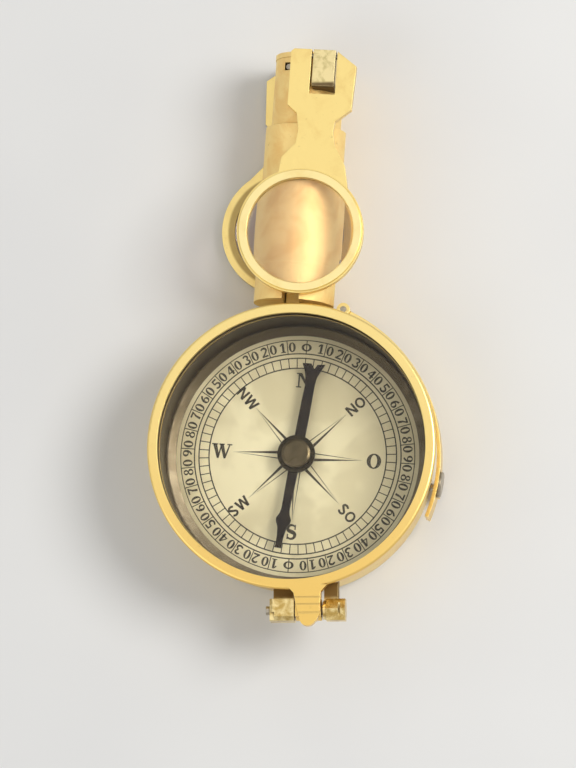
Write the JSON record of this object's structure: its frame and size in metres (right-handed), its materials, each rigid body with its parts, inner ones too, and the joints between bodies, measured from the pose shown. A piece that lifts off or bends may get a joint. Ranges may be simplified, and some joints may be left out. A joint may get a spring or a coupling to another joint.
{
  "type": "field compass",
  "caption": "Pocket field compass with a hinged glazed bezel, a needle arrest strip, and a folding draw tube column that carries hinged magnifier arms.",
  "frame": {"origin": "middle of the flat back of the case", "axes": "+Z out of the dial towards the reader with the case lying on its back, +Y from the case towards the column, +X to the right of the dial with the column at the top"},
  "size_m": [0.0461, 0.0921, 0.0172],
  "materials": {
    "brass": "polished, handled",
    "dark_brass": "dull, aged",
    "silvered": "silvered and printed",
    "blued_steel": "blued",
    "bronze": "dark bronzed",
    "steel": "turned",
    "clear_glass": "polished"
  },
  "bodies": {
    "case": {"case_shell": "brass", "dial_seat": "dark_brass", "dial": "silvered", "dial_ring": "brass", "pivot_post": "dark_brass", "pivot_point": "steel", "arm_guide": "dark_brass", "north_lug": "brass", "lug_left": "brass", "lug_right": "brass", "bezel_pin": "steel", "strip_bracket": "brass", "strip_pin": "steel"},
    "bezel_frame": {"bezel": "brass", "glass": "clear_glass", "glass_keeper": "dark_brass"},
    "lifter": {"lifter_sleeve": "brass", "lifter_arm": "brass"},
    "needle_group": {"needle": "blued_steel", "needle_hub": "bronze", "needle_cap": "bronze"},
    "arrest": {"arrest_strip": "brass", "arrest_knob": "steel", "push_pin": "steel"},
    "column": {"fork_plug": "brass", "column_sleeve": "brass", "column_pin": "steel", "sleeve_screws": "steel"},
    "draw": {"draw_tube": "brass", "guide_ring": "dark_brass", "end_block": "brass", "end_cap": "brass", "set_screw": "steel", "front_pin": "steel", "back_pin": "steel"},
    "front_lens_arm": {"front_arm": "brass", "front_lens": "clear_glass", "front_keeper": "brass"},
    "back_lens_arm": {"back_arm": "brass", "back_lens": "clear_glass", "back_keeper": "brass"}
  },
  "joints": [
    {"name": "bezel_open", "type": "hinge", "parent": "case", "child": "bezel_frame", "pos_m": [0.00255, -0.0256, 0.01235], "axis": [1, 0, 0], "range_deg": [0, 105]},
    {"name": "column_fold", "type": "hinge", "parent": "case", "child": "column", "pos_m": [0, 0.0273, 0.0136], "axis": [0.9976, -0.0698, 0], "range_deg": [0, 90]},
    {"name": "draw_slide", "type": "slide", "parent": "column", "child": "draw", "axis": [0.0698, 0.9976, 0], "range_m": [0, 0.014]},
    {"name": "front_lens_fold", "type": "hinge", "parent": "draw", "child": "front_lens_arm", "pos_m": [0.00244, 0.06221, 0.01615], "axis": [-0.9976, 0.0698, 0], "range_deg": [0, 180]},
    {"name": "back_lens_fold", "type": "hinge", "parent": "draw", "child": "back_lens_arm", "pos_m": [0.00244, 0.06221, 0.00145], "axis": [0.9976, -0.0698, 0], "range_deg": [0, 180]},
    {"name": "arrest_press", "type": "hinge", "parent": "case", "child": "arrest", "pos_m": [0.00773, 0.02247, 0.007], "axis": [0, 0, -1], "range_deg": [0, 1.8], "stiffness_Nm_per_rad": 0.3, "springref_deg": -1.15},
    {"name": "lifter_lift", "type": "slide", "parent": "case", "child": "lifter", "axis": [0, 0, 1], "range_m": [0, 0.00065]},
    {"name": "needle_spin", "type": "hinge", "parent": "lifter", "child": "needle_group", "pos_m": [0, 0, 0.0065], "axis": [0, 0, 1], "continuous": true}
  ],
  "couplings": [
    {"joint": "lifter_lift", "follows": "arrest_press", "m_per_rad": 0.01983}
  ]
}
